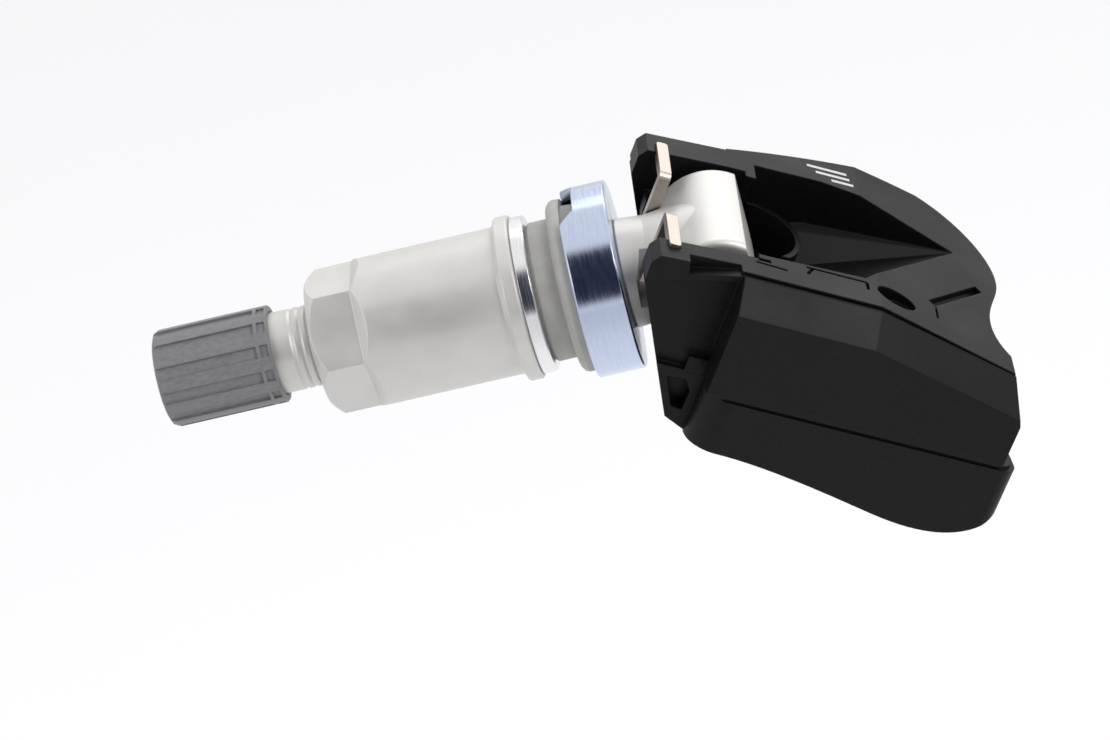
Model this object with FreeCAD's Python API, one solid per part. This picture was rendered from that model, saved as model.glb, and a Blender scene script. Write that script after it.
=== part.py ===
import FreeCAD, Part
import math
import os

# Tyre pressure sensor: an aluminium clamp-in valve with a black moulded sensor housing
# hinged on the valve's foot. All sizes are in millimetres.
# The origin is the centre of the rim hole, in the plane of the rim's inner face.
# +X runs along the valve towards the inside of the wheel, and +Z is up with the housing's open channel on top.

VEC = FreeCAD.Vector
X_AXIS = VEC(1, 0, 0)
Y_AXIS = VEC(0, 1, 0)
Z_AXIS = VEC(0, 0, 1)

# Valve: the standard 8V1 stem thread and the 12 mm hexagon set the scale of everything else.
THREAD_R = 3.85
THREAD_PITCH = 0.794
THREAD_RUN_OUTS = 3
THREAD_DEPTH = 0.12
THREAD_CLEARANCE = 0.05
HEX_FLATS = 12.0
STEM_SEAT_R = 4.2
STEM_SHOWN = 4.0
NOSE_LENGTH = 8.4
NOSE_CHAMFER = 0.45
NECK_R = 5.2
NECK_WAIST = 0.25
NECK_LENGTH = 8.5
FOOT_R = 5.25
FOOT_WIDTH = 13.3
FOOT_FLAT = 3.3
FOOT_EDGE = 0.6
AIR_BORE_R = 1.25

# Rings between the nut and the neck.
RIM_NECK_R = 6.6
RIM_NECK_LENGTH = 2.3
SEAL_FLANGE_R = 8.2
SEAL_FLANGE_T = 1.3
CUP_R = 8.95
CUP_DEPTH = 4.5
CUP_WALL = 1.0
CUP_NOTCH_DEPTH = 1.4
CUP_NOTCH_HALF_DEG = 21.0
CUP_NOTCH_MID_DEG = 12.0
SLIP_R = 7.45
SLIP_T = 1.4
RING_EDGE = 0.15

# Collar nut. Its hexagon stops with one flat this far past the level when it is tight.
NUT_LIP_R = 7.8
NUT_LIP_T = 1.4
NUT_LIP_ROOT = 0.35
NUT_BARREL_R = 7.0
NUT_BARREL_LENGTH = 13.2
NUT_RUN_OUT = 0.8
NUT_RELIEF_R = 4.9
NUT_RELIEF_SHARE = 0.45
HEX_LENGTH = 4.5
HEX_FACE_R = 5.9
HEX_SIDES = 6
HEX_TURN_DEG = 9.0

# Cap.
CAP_R = 4.65
CAP_LENGTH = 11.2
CAP_END_ROUND = 0.7
CAP_COLLAR = 1.35
CAP_FLUTES = 12
CAP_FLUTE_WIDTH = 1.15
CAP_FLUTE_DEPTH = 0.28
CAP_FLUTE_PHASE_DEG = 22.0
CAP_POCKET_LENGTH = 0.75
CAP_POCKET_EDGE = 0.25
CAP_SEAL_T = 0.8
CAP_SEAL_HOLE_R = 1.2

# Valve core.
CORE_BORE_R = 2.6
CORE_BARREL_R = 2.05
CORE_BARREL_BORE = 1.75
CORE_HEAD_LENGTH = 4.2
CORE_LENGTH = 12.5
CORE_SUNK = 0.9
CORE_CRIMP = 0.4
CORE_WINDOW_DEPTH = 1.6
PIN_R = 0.55
PIN_PROUD = 0.5
PIN_TRAVEL = 1.3
PIN_COLLAR_R = 1.05
PIN_COLLAR_T = 0.5
CORE_SEAL_T = 1.2
SPRING_R = 1.35
SPRING_WIRE_R = 0.22
SPRING_TURNS = 5

# Housing, in its own frame: origin on the foot's axis, X along the housing, Z up.
TILT_DEG = 31.7
TOP_Z = 4.95
CHANNEL_HALF = 7.8
CHEEK_HALF = 11.0
NEAR_Y = 14.1
FAR_Y = 14.8
WING_X = 0.35
BEND_X = 13.6
END_X = 30.9
END_TOP_Z = 0.85
CHEEK_TOP_X = -8.2
CHEEK_FOOT_X = -1.7
CHEEK_FOOT_Z = -11.8
CHEEK_BROW = 1.3
CHEEK_CHIN = 3.4
CHEEK_RECESS = 0.8
CHEEK_PIT = 1.3
SNAP_TAB = (-1.6, -5.0)
CHEEK_LIP_FRONT_Z = 1.6
CHEEK_LIP_BACK_Z = 3.9
BOTTOM_FRONT_Z = -12.7
BOTTOM_LOW_Z = -15.3
BOTTOM_LOW_X = 23.0
BASE_CORNER_R = 3.0
SEAM_Z = -6.65
SEAM_GAP = 0.12
SEAM_STEP = 0.35
BEVEL = 2.8
BEVEL_FALL = 0.93
UPPER_END_SET_BACK = 1.55
UPPER_END_LEAN = 2.7
RIM_GROOVE = 0.45
SHELL_WALL = 1.3
COVER_RIM_DROP = 1.8
FLOOR_BACK_X = 5.2
FLOOR_BACK_Z = -4.9
SEAT_STEP_X = 1.2
SEAT_STEP = 0.85
RUNNING_CLEARANCE = 0.06
NECK_CLEARANCE = 0.35
SWIVEL_DOWN_DEG = 5.0
SWIVEL_UP_DEG = 16.0

# Places on the top where the channel's floor comes out, and on the far wing's inner edge, in plan.
FLOOR_NEAR_OUT = (12.5, -6.4)
FLOOR_FAR_OUT = (23.8, 6.9)
FAR_EDGE_BEND = (9.75, 9.6)
FAR_EDGE_Y = 9.4
LEDGE_Y = 5.6
LEDGE_DROP = 3.3
BOWL_R = 4.7
BOWL_X = 3.4
BOWL_Y = 4.6
BOWL_FLOOR_Z = -3.4
BOWL_RIM_T = 0.55
BOWL_RIM_Z = 0.9

# Panel lines moulded in the top.
LINE_WIDTH = 0.3
LINE_DEPTH = 0.4
BRACKET_X = 6.6
BRACKET_LENGTH = 5.9
BRACKET_Y = -7.15
BRACKET_DROP = 1.2
STEP_START = (20.0, -5.6)
STEP_END = (26.2, 1.8)
STEP_WIDTH = 0.9
STEP_DEPTH = 0.7
SLOT_X = 1.9
SLOT_LENGTH = 1.2
SLOT_WIDTH = 0.5

# Pressure port.
PORT_X = 15.5
PORT_SET_IN = 1.5
PORT_LENGTH = 4.1
PORT_WIDTH = 2.6
PORT_DEPTH = 1.1
PORT_R = 0.7
FILTER_T = 0.3
FILTER_DEPTH = 1.2
GASKET_WALL = 0.9

# Retaining clip of flat spring steel.
CLIP_WIDTH = 1.1
CLIP_T = 0.8
CLIP_X = -6.2
CLIP_TOP_Z = 4.95
CLIP_LEG_END_Z = -2.6
CLIP_LEG_Y = 3.6
CLIP_EAR_END = 9.1
CLIP_TIP = 0.3
CLIP_CLEARANCE = 0.25
CLIP_SEAT_GAP = 0.03
SADDLE_R = 6.5
SADDLE_TOP_Z = 0.4

# Electronics in the sealed room.
ROOM_END = 6.2
ROOM_CORNER_R = 1.5
BOARD_T = 0.8
BOARD_GAP = 0.4
BOARD_CORNER_R = 1.4
BATTERY_T = 3.2
BATTERY_X = 13.2
TAB_T = 0.15
TAB_WIDTH = 3.0
TAB_REACH = 4.0
TAB_SET_IN = 0.4
CHIP = (5.0, 5.0, 1.4)
RADIO_CHIP = (4.0, 4.0, 0.9)
CRYSTAL = (3.2, 2.5, 0.8)
CHIP_SPACE_SHARE = 0.2826
COIL_LENGTH = 8.0
COIL_SIDE = 2.6
COIL_SET_IN = 1.9
FERRITE_SIDE = 1.4
FERRITE_PROUD = 1.0
INNER_GAP = 0.05

# Places along the valve axis, worked out from the stack of rings.
X_CUP_MOUTH = SEAL_FLANGE_T
X_CUP_BACK = X_CUP_MOUTH + CUP_DEPTH
X_FOOT = X_CUP_BACK + NECK_LENGTH
X_SLIP_BACK = -RIM_NECK_LENGTH
X_SLIP_FRONT = X_SLIP_BACK - SLIP_T
X_LIP_FRONT = X_SLIP_FRONT - NUT_LIP_T
X_RUN_OUT = X_LIP_FRONT - NUT_BARREL_LENGTH
X_HEX_BACK = X_RUN_OUT - NUT_RUN_OUT
X_HEX_FRONT = X_HEX_BACK - HEX_LENGTH
X_CAP_RIM = X_HEX_FRONT - STEM_SHOWN
X_CAP_END = X_CAP_RIM - CAP_LENGTH
X_STEM_END = X_CAP_RIM - NOSE_LENGTH
X_CORE = X_STEM_END + CORE_SUNK
X_CORE_HEAD = X_CORE + CORE_HEAD_LENGTH
X_CORE_END = X_CORE + CORE_LENGTH

# Heights and places inside the housing, worked out from its outline.
UPPER_END_X = END_X - UPPER_END_SET_BACK
ROOM_FRONT_X = WING_X + SHELL_WALL
ROOM_END_X = END_X - ROOM_END
ROOM_HALF = CHEEK_HALF - SHELL_WALL
ROOM_FLOOR_Z = BOTTOM_FRONT_Z + SHELL_WALL
ROOF_LOW_X = FLOOR_BACK_X + 0.8
ROOF_LOW_Z = SEAM_Z + 0.15
BATTERY_Z0 = ROOM_FLOOR_Z + TAB_T
BATTERY_Z1 = BATTERY_Z0 + BATTERY_T
BOARD_Z0 = BATTERY_Z1 + TAB_T
BOARD_Z1 = BOARD_Z0 + BOARD_T
BOARD_X0 = ROOM_FRONT_X + BOARD_GAP
BOARD_X1 = ROOM_END_X - BOARD_GAP
BOARD_HALF = ROOM_HALF - BOARD_GAP
BATTERY_R = BOARD_HALF
PORT_Y = PORT_SET_IN - BOARD_HALF
CHIP_SPACE = BOARD_HALF * CHIP_SPACE_SHARE
FAR_REACH = 60.0


def closed_face(points):
    """A flat face inside a closed run of straight edges."""
    return Part.Face(Part.makePolygon(points + [points[0]]))


def revolve(points):
    """Turns a closed outline of (along, radius) points about the valve axis."""
    return closed_face([VEC(x, 0, r) for x, r in points]).revolve(VEC(0, 0, 0), X_AXIS, 360)


def rod(x0, x1, radius):
    """A cylinder along the valve axis."""
    return Part.makeCylinder(radius, x1 - x0, VEC(x0, 0, 0), X_AXIS)


def cross_rod(radius, width):
    """A cylinder across the housing, centred on the foot's axis."""
    return Part.makeCylinder(radius, width, VEC(0, -width / 2, 0), Y_AXIS)


def block(x0, x1, y0, y1, z0, z1):
    """A box between two corners."""
    return Part.makeBox(x1 - x0, y1 - y0, z1 - z0, VEC(x0, y0, z0))


def side_prism(points, y0, y1):
    """A side-view outline of (x, z) points, extruded across the housing."""
    return closed_face([VEC(x, y0, z) for x, z in points]).extrude(VEC(0, y1 - y0, 0))


def with_mirror(shape):
    """The shape together with its mirror image on the other side of the valve axis."""
    return shape.fuse(shape.mirror(VEC(0, 0, 0), Y_AXIS))


def upright_edges(shape):
    return [e for e in shape.Edges if abs(e.tangentAt(e.FirstParameter).z) > 0.99]


def round_edges(shape):
    return [e for e in shape.Edges if e.Curve.TypeId == "Part::GeomCircle"]


def line(a, b):
    return Part.LineSegment(a, b).toShape()


def arc(a, b, c):
    return Part.Arc(a, b, c).toShape()


def place_housing(shape):
    """Carries a shape from the housing's frame to the valve's frame."""
    placed = shape.copy()
    placed.rotate(VEC(0, 0, 0), Y_AXIS, TILT_DEG)
    placed.translate(VEC(X_FOOT, 0, 0))
    return placed


# Valve stem

def neck_recesses():
    """The wedge-shaped recesses in the neck's sides, open enough for the clip's legs over the whole swivel."""
    front = CLIP_X - CLIP_WIDTH / 2 - CLIP_CLEARANCE
    back = CLIP_X + CLIP_WIDTH / 2 + CLIP_CLEARANCE
    low = CLIP_LEG_END_Z - CLIP_CLEARANCE
    high = CLIP_TOP_Z + CLIP_T
    shallow = math.radians(TILT_DEG - SWIVEL_UP_DEG)
    steep = math.radians(TILT_DEG + SWIVEL_DOWN_DEG)
    waist = back / math.cos((steep - shallow) / 2)

    def turned(x, z, angle):
        return (X_FOOT + x * math.cos(angle) + z * math.sin(angle), z * math.cos(angle) - x * math.sin(angle))

    outline = [
        turned(front, low, shallow),
        turned(front, low, steep),
        turned(front, high, shallow),
        turned(front, high, steep),
        turned(back, high, steep),
        turned(waist, 0, (steep + shallow) / 2),
        turned(back, low, shallow),
    ]
    inner = CLIP_LEG_Y - CLIP_T / 2 - CLIP_CLEARANCE
    return with_mirror(side_prism(outline, -NECK_R * 1.2, -inner))


def valve_stem():
    """Turned and milled from bar: nose, thread, seat, neck and the cross foot, all one piece."""
    waist_x = X_CUP_BACK + NECK_LENGTH * 0.32
    waist_end = X_CUP_BACK + NECK_LENGTH * 0.58
    profile = [
        (X_STEM_END, 0),
        (X_STEM_END, THREAD_R - NOSE_CHAMFER),
        (X_STEM_END + NOSE_CHAMFER, THREAD_R),
    ]
    # The last turns of the thread show beside the nut.
    for turn in range(THREAD_RUN_OUTS, 0, -1):
        root = X_HEX_FRONT - (turn - 0.5) * THREAD_PITCH
        profile += [
            (root - THREAD_PITCH * 0.3, THREAD_R),
            (root, THREAD_R - THREAD_DEPTH),
            (root + THREAD_PITCH * 0.3, THREAD_R),
        ]
    profile += [
        (X_SLIP_FRONT - 0.2, THREAD_R),
        (X_SLIP_FRONT, STEM_SEAT_R),
        (X_CUP_BACK, STEM_SEAT_R),
        (X_CUP_BACK, NECK_R - RING_EDGE),
        (X_CUP_BACK + RING_EDGE, NECK_R),
        (waist_x, NECK_R - NECK_WAIST),
        (waist_end, NECK_R),
        (X_FOOT, NECK_R),
        (X_FOOT, 0),
    ]
    foot = cross_rod(FOOT_R, FOOT_WIDTH)
    foot = foot.makeFillet(FOOT_EDGE, round_edges(foot))
    foot.translate(VEC(X_FOOT, 0, 0))
    stem = revolve(profile).fuse(foot)
    flat_x = X_FOOT + FOOT_FLAT
    stem = stem.cut(block(flat_x, flat_x + FOOT_R, -FOOT_WIDTH, FOOT_WIDTH, -FOOT_R * 2, FOOT_R * 2))
    stem = stem.cut(neck_recesses())
    bore = rod(X_STEM_END, X_CORE_HEAD, CORE_BORE_R)
    bore = bore.fuse(rod(X_STEM_END, X_CORE_END + CORE_SEAL_T + PIN_TRAVEL * 2, CORE_BARREL_R + 0.2))
    bore = bore.fuse(rod(X_STEM_END, X_FOOT - FOOT_R * 0.35, AIR_BORE_R))
    return stem.cut(bore).removeSplitter()


# Rings and nut

def cup_washer():
    """Pressed and plated cup that backs the rubber, with one slot in its rim."""
    inner = CUP_R - CUP_WALL
    bore_r = STEM_SEAT_R + 0.03
    profile = [
        (X_CUP_MOUTH, inner),
        (X_CUP_MOUTH, CUP_R - RING_EDGE),
        (X_CUP_MOUTH + RING_EDGE, CUP_R),
        (X_CUP_BACK - RING_EDGE, CUP_R),
        (X_CUP_BACK, CUP_R - RING_EDGE),
        (X_CUP_BACK, bore_r),
        (X_CUP_BACK - CUP_WALL, bore_r),
        (X_CUP_BACK - CUP_WALL, inner),
    ]
    half = CUP_R * math.sin(math.radians(CUP_NOTCH_HALF_DEG))
    slot = closed_face([
        VEC(X_CUP_MOUTH - 1, -half - CUP_NOTCH_DEPTH - 1, 0),
        VEC(X_CUP_MOUTH + CUP_NOTCH_DEPTH, -half, 0),
        VEC(X_CUP_MOUTH + CUP_NOTCH_DEPTH, half, 0),
        VEC(X_CUP_MOUTH - 1, half + CUP_NOTCH_DEPTH + 1, 0),
    ]).extrude(VEC(0, 0, CUP_R * 2))
    slot.rotate(VEC(0, 0, 0), X_AXIS, -CUP_NOTCH_MID_DEG)
    return revolve(profile).cut(slot)


def rim_grommet():
    """Rubber seal: a neck that fills the rim hole, a flange on the rim and a plug inside the cup."""
    plug_r = CUP_R - CUP_WALL - 0.45
    bore_r = STEM_SEAT_R + 0.02
    profile = [
        (X_SLIP_BACK, bore_r),
        (X_SLIP_BACK, RIM_NECK_R - 0.3),
        (X_SLIP_BACK + 0.3, RIM_NECK_R),
        (0, RIM_NECK_R),
        (0, SEAL_FLANGE_R - 0.5),
        (SEAL_FLANGE_T * 0.2, SEAL_FLANGE_R - 0.15),
        (SEAL_FLANGE_T * 0.5, SEAL_FLANGE_R),
        (X_CUP_MOUTH, SEAL_FLANGE_R - 0.05),
        (X_CUP_MOUTH, plug_r),
        (X_CUP_BACK - CUP_WALL, plug_r - 0.3),
        (X_CUP_BACK - CUP_WALL, bore_r),
    ]
    return revolve(profile)


def slip_washer():
    """Polished ring that lets the nut turn without dragging the rubber."""
    bore_r = STEM_SEAT_R + THREAD_CLEARANCE
    profile = [
        (X_SLIP_FRONT, bore_r),
        (X_SLIP_FRONT, SLIP_R - RING_EDGE),
        (X_SLIP_FRONT + RING_EDGE, SLIP_R),
        (X_SLIP_BACK - RING_EDGE, SLIP_R),
        (X_SLIP_BACK, SLIP_R - RING_EDGE),
        (X_SLIP_BACK, bore_r),
    ]
    return revolve(profile)


def domed_end_waste():
    """What the turned dome takes off the hexagon's outer end, from its face's edge to its corners."""
    drop = NUT_BARREL_R - HEX_FACE_R
    centre_in = (drop ** 2 + NUT_BARREL_R ** 2 - HEX_FACE_R ** 2) / (2 * drop)
    dome = Part.makeSphere(math.hypot(centre_in, HEX_FACE_R), VEC(X_HEX_FRONT + centre_in, 0, 0))
    return rod(X_HEX_FRONT, X_HEX_FRONT + drop, NUT_BARREL_R + drop).cut(dome)


def hex_collar_nut():
    """Long collar nut: a lip at the rim, a round barrel, and a hexagon whose corners meet the barrel's size."""
    bore_r = THREAD_R + THREAD_CLEARANCE
    mouth = THREAD_R * 0.1
    relief_end = X_LIP_FRONT - NUT_BARREL_LENGTH * NUT_RELIEF_SHARE
    profile = [
        (X_HEX_FRONT, bore_r + mouth),
        (X_HEX_FRONT, NUT_BARREL_R),
        (X_LIP_FRONT - NUT_LIP_ROOT, NUT_BARREL_R),
        (X_LIP_FRONT, NUT_BARREL_R + NUT_LIP_ROOT),
        (X_LIP_FRONT, NUT_LIP_R - RING_EDGE),
        (X_LIP_FRONT + RING_EDGE, NUT_LIP_R),
        (X_SLIP_FRONT - RING_EDGE, NUT_LIP_R),
        (X_SLIP_FRONT, NUT_LIP_R - RING_EDGE),
        (X_SLIP_FRONT, NUT_RELIEF_R),
        (relief_end, NUT_RELIEF_R),
        (relief_end - NUT_RELIEF_R + bore_r, bore_r),
        (X_HEX_FRONT + mouth, bore_r),
    ]
    nut = revolve(profile)
    flat = HEX_FLATS / 2
    rise = NUT_RUN_OUT * 2.5
    side = side_prism([
        (X_HEX_FRONT - 1, flat),
        (X_HEX_BACK, flat),
        (X_HEX_BACK + rise, flat + rise),
        (X_HEX_FRONT - 1, flat + rise),
    ], -HEX_FLATS, HEX_FLATS)
    for i in range(HEX_SIDES):
        cutter = side.copy()
        cutter.rotate(VEC(0, 0, 0), X_AXIS, 360 / HEX_SIDES * i - HEX_TURN_DEG)
        nut = nut.cut(cutter)
    return nut.cut(domed_end_waste())


# Cap

def valve_cap():
    """Moulded dust cap with flutes up to a collar, and a small pocket in the collar by each flute."""
    bore_r = THREAD_R + THREAD_CLEARANCE
    bore_end = X_STEM_END - CAP_SEAL_T
    mouth = THREAD_CLEARANCE * 4
    profile = [
        (X_CAP_END, 0),
        (X_CAP_END, CAP_R - CAP_END_ROUND),
        (X_CAP_END + CAP_END_ROUND * 0.3, CAP_R - CAP_END_ROUND * 0.3),
        (X_CAP_END + CAP_END_ROUND, CAP_R),
        (X_CAP_RIM - RING_EDGE, CAP_R),
        (X_CAP_RIM, CAP_R - RING_EDGE),
        (X_CAP_RIM, bore_r + mouth),
        (X_CAP_RIM - mouth, bore_r),
        (bore_end, bore_r),
        (bore_end, 0),
    ]
    cap = revolve(profile)
    half = CAP_FLUTE_WIDTH / 2
    flute = block(X_CAP_END - 1, X_CAP_RIM - CAP_COLLAR, -half, half, CAP_R - CAP_FLUTE_DEPTH, CAP_R + 1)
    pocket_end = X_CAP_RIM - CAP_POCKET_EDGE
    pocket_floor = CAP_R - CAP_FLUTE_DEPTH * 0.8
    pocket = block(pocket_end - CAP_POCKET_LENGTH, pocket_end, -half, half, pocket_floor, CAP_R + 1)
    cutters = []
    for i in range(CAP_FLUTES):
        for tool in (flute, pocket):
            cutter = tool.copy()
            cutter.rotate(VEC(0, 0, 0), X_AXIS, CAP_FLUTE_PHASE_DEG + 360.0 * i / CAP_FLUTES)
            cutters.append(cutter)
    return cap.cut(Part.makeCompound(cutters))


def cap_seal():
    """Rubber disc at the bottom of the cap, pressed on the stem's nose."""
    back = X_STEM_END - CAP_SEAL_T
    return rod(back, X_STEM_END, THREAD_R - 0.02).cut(rod(back, X_STEM_END, CAP_SEAL_HOLE_R))


# Valve core

def valve_core_body():
    """Threaded brass plug and barrel, with a bridge at its outer end that guides the pin."""
    guide = PIN_R + INNER_GAP
    plug_r = CORE_BORE_R - 0.03
    crimp_r = CORE_BARREL_BORE - RING_EDGE
    profile = [
        (X_CORE, guide),
        (X_CORE, plug_r - 0.3),
        (X_CORE + 0.3, plug_r),
        (X_CORE_HEAD - 0.5, plug_r),
        (X_CORE_HEAD - 0.1, CORE_BARREL_R),
        (X_CORE_END, CORE_BARREL_R),
        (X_CORE_END, crimp_r),
        (X_CORE_END - CORE_CRIMP, crimp_r),
        (X_CORE_END - CORE_CRIMP, CORE_BARREL_BORE),
        (X_CORE_HEAD, CORE_BARREL_BORE),
        (X_CORE_HEAD, guide),
    ]
    bridge_half = CORE_BORE_R * 0.37
    window = block(X_CORE - 1, X_CORE + CORE_WINDOW_DEPTH, bridge_half, CORE_BORE_R, -CORE_BORE_R, CORE_BORE_R)
    return revolve(profile).cut(with_mirror(window))


def core_pin():
    """Brass pin that opens the valve when its tip is pushed in."""
    tip = rod(X_CORE - PIN_PROUD, X_CORE_END + CORE_SEAL_T * 0.6, PIN_R)
    collar_x = X_CORE_HEAD + INNER_GAP * 2
    return tip.fuse(rod(collar_x, collar_x + PIN_COLLAR_T, PIN_COLLAR_R)).removeSplitter()


def core_seal():
    """Rubber seat on the pin's inner end."""
    ring = rod(X_CORE_END + 0.02, X_CORE_END + CORE_SEAL_T, CORE_BARREL_R - 0.1)
    return ring.cut(rod(X_CORE_END, X_CORE_END + CORE_SEAL_T * 0.6 + 0.01, PIN_R + 0.01))


def core_spring():
    """Coil spring between the pin's collar and the crimped end of the barrel."""
    x0 = X_CORE_HEAD + INNER_GAP * 2 + PIN_COLLAR_T + SPRING_WIRE_R
    x1 = X_CORE_END - CORE_CRIMP - SPRING_WIRE_R
    helix = Part.makeHelix((x1 - x0) / SPRING_TURNS, x1 - x0, SPRING_R)
    section = Part.Wire(Part.makeCircle(SPRING_WIRE_R, VEC(SPRING_R, 0, 0), Y_AXIS))
    spring = Part.Wire(helix.Edges).makePipeShell([section], True, True)
    spring.rotate(VEC(0, 0, 0), Y_AXIS, 90)
    spring.translate(VEC(x0, 0, 0))
    return spring


# Housing mouldings

def above(z):
    return block(-FAR_REACH, FAR_REACH, -FAR_REACH, FAR_REACH, z, z + FAR_REACH)


def top_z(x):
    """Height of the housing's top: level to the bend, then falling to the right end."""
    if x <= BEND_X:
        return TOP_Z
    return TOP_Z - (x - BEND_X) * (TOP_Z - END_TOP_Z) / (END_X - BEND_X)


def side_outline():
    """Side view of the whole housing body behind the cheeks, with its rounded belly."""
    front = VEC(WING_X, 0, BOTTOM_FRONT_Z)
    end = VEC(END_X, 0, CHEEK_FOOT_Z)
    top_end = VEC(END_X, 0, END_TOP_Z)
    top_bend = VEC(BEND_X, 0, TOP_Z)
    top_front = VEC(WING_X, 0, TOP_Z)
    sag = BOTTOM_FRONT_Z - BOTTOM_LOW_Z
    belly = Part.BSplineCurve()
    belly.interpolate([
        front,
        VEC(BOTTOM_LOW_X - 12.5, 0, BOTTOM_FRONT_Z - sag * 0.2),
        VEC(BOTTOM_LOW_X - 5.5, 0, BOTTOM_FRONT_Z - sag * 0.68),
        VEC(BOTTOM_LOW_X, 0, BOTTOM_LOW_Z),
        VEC(END_X - 2.6, 0, BOTTOM_LOW_Z + sag * 0.35),
        end,
    ])
    edges = [belly.toShape(), line(end, top_end), line(top_end, top_bend), line(top_bend, top_front),
             line(top_front, front)]
    return Part.Face(Part.Wire(edges))


def plan_outline(inset=0.0):
    """Plan view: straight near side, bowed far side, big far corner and a hollow in the right end."""
    near = -NEAR_Y + inset
    right = END_X - inset
    far = FAR_Y - inset
    front = WING_X if inset == 0 else WING_X - SHELL_WALL
    corner = VEC(right, near + 1.6, 0)
    side_end = VEC(right - 1.2, near, 0)
    far_start = VEC(right - 10.4, far, 0)
    far_front = VEC(front, CHEEK_HALF + 0.2 - inset, 0)
    end = Part.BSplineCurve()
    end.interpolate([
        corner,
        VEC(right - 1.5, near + 4.8, 0),
        VEC(right - 3.7, near + 7.3, 0),
        VEC(right - 4.5, near + 10.8, 0),
        VEC(right - 3.6, 1.0, 0),
        VEC(right - 2.6, 4.8, 0),
        VEC(right - 3.2, far - 6.0, 0),
        VEC(right - 5.5, far - 2.6, 0),
        far_start,
    ])
    edges = [
        line(VEC(front, near, 0), side_end),
        arc(side_end, VEC(right - 0.35, near + 0.45, 0), corner),
        end.toShape(),
        arc(far_start, VEC(WING_X + 9.2, far - 1.3, 0), far_front),
        line(far_front, VEC(front, near, 0)),
    ]
    return Part.Face(Part.Wire(edges))


def plan_column(inset=0.0):
    """The plan outline as a tall column."""
    face = plan_outline(inset)
    face.translate(VEC(0, 0, -FAR_REACH / 2))
    return face.extrude(VEC(0, 0, FAR_REACH))


def along_top(section, fall):
    """A section of (y, z from the top) points along the level top, then down that share of its fall."""
    level = closed_face([VEC(WING_X - 1, y, TOP_Z + z) for y, z in section])
    falling = closed_face([VEC(BEND_X, y, TOP_Z + z) for y, z in section])
    run = END_X - BEND_X + 2
    drop = TOP_Z - top_z(BEND_X + run)
    return level.extrude(VEC(BEND_X - WING_X + 1, 0, 0)).fuse(falling.extrude(VEC(run, 0, -drop * fall)))


def wing_envelope():
    """The housing behind the cheeks, as one block: side view and plan view together, with the near bevel."""
    side = side_outline()
    side.translate(VEC(0, -NEAR_Y - 1, 0))
    body = side.extrude(VEC(0, NEAR_Y + FAR_Y + 2, 0)).common(plan_column())
    slope = BEVEL / (NEAR_Y - CHEEK_HALF)
    waste = [(-NEAR_Y - 1, -BEVEL - slope), (-CHEEK_HALF + 3, slope * 3), (-NEAR_Y - 1, slope * 3)]
    body = body.cut(along_top(waste, BEVEL_FALL))
    # Above the seam the right end stands a little further in and leans back towards its top.
    past_end = side_prism([
        (UPPER_END_X, SEAM_Z),
        (UPPER_END_X, END_TOP_Z - BEVEL),
        (UPPER_END_X - UPPER_END_LEAN, TOP_Z),
        (END_X + 1, TOP_Z),
        (END_X + 1, SEAM_Z),
    ], -FAR_REACH, 0)
    return body.cut(past_end)


def cheek_envelope():
    """The narrower front of the housing, from the wings forward to the slanted nose."""
    outline = [
        (WING_X + 0.01, TOP_Z),
        (CHEEK_TOP_X + CHEEK_BROW / 2, TOP_Z - CHEEK_BROW / 3),
        (CHEEK_TOP_X, TOP_Z - CHEEK_BROW),
        (CHEEK_TOP_X, TOP_Z - CHEEK_CHIN),
        (CHEEK_FOOT_X, CHEEK_FOOT_Z),
        (WING_X + 0.01, BOTTOM_FRONT_Z),
    ]
    cheeks = side_prism(outline, -CHEEK_HALF, CHEEK_HALF)

    # Below a lip that rises to the wing, the cheeks' sides are set back as far down as the seam.
    below_lip = side_prism([
        (CHEEK_TOP_X - 1, CHEEK_LIP_FRONT_Z),
        (WING_X, CHEEK_LIP_BACK_Z),
        (WING_X, SNAP_TAB[1]),
        SNAP_TAB,
        (SNAP_TAB[0], SEAM_Z + SEAM_GAP),
        (CHEEK_TOP_X - 1, SEAM_Z + SEAM_GAP),
    ], -CHEEK_HALF - 1, -CHEEK_HALF + CHEEK_RECESS)
    # The base shell's part of the near cheek has a deeper pit beside the nose.
    pit = side_prism([
        (CHEEK_FOOT_X - 1.2, SEAM_Z - 0.9),
        (CHEEK_FOOT_X + 0.6, SEAM_Z - 0.7),
        (CHEEK_FOOT_X + 1.4, SEAM_Z - 2.0),
        (CHEEK_FOOT_X + 1.3, CHEEK_FOOT_Z + 1.1),
        (CHEEK_FOOT_X + 0.2, CHEEK_FOOT_Z + 1.2),
    ], -CHEEK_HALF - 1, -CHEEK_HALF + CHEEK_PIT)
    # A small three-cornered pocket runs out into the groove along the top.
    pocket_x = CHEEK_TOP_X * 0.6
    pocket = side_prism([
        (pocket_x, TOP_Z + 0.1),
        (pocket_x + 0.4, TOP_Z - BEVEL * 0.57),
        (pocket_x + 5.0, TOP_Z - RIM_GROOVE),
        (pocket_x + 5.0, TOP_Z + 0.1),
    ], -CHEEK_HALF - 1, -CHEEK_HALF + CHEEK_PIT)
    return cheeks.cut(with_mirror(below_lip)).cut(pit).cut(pocket)


def touch_x(steep, slot_r):
    """Where the neck's lowest line leaves the slot's floor when the valve is at its steepest."""
    return slot_r * math.sin(steep)


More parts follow.
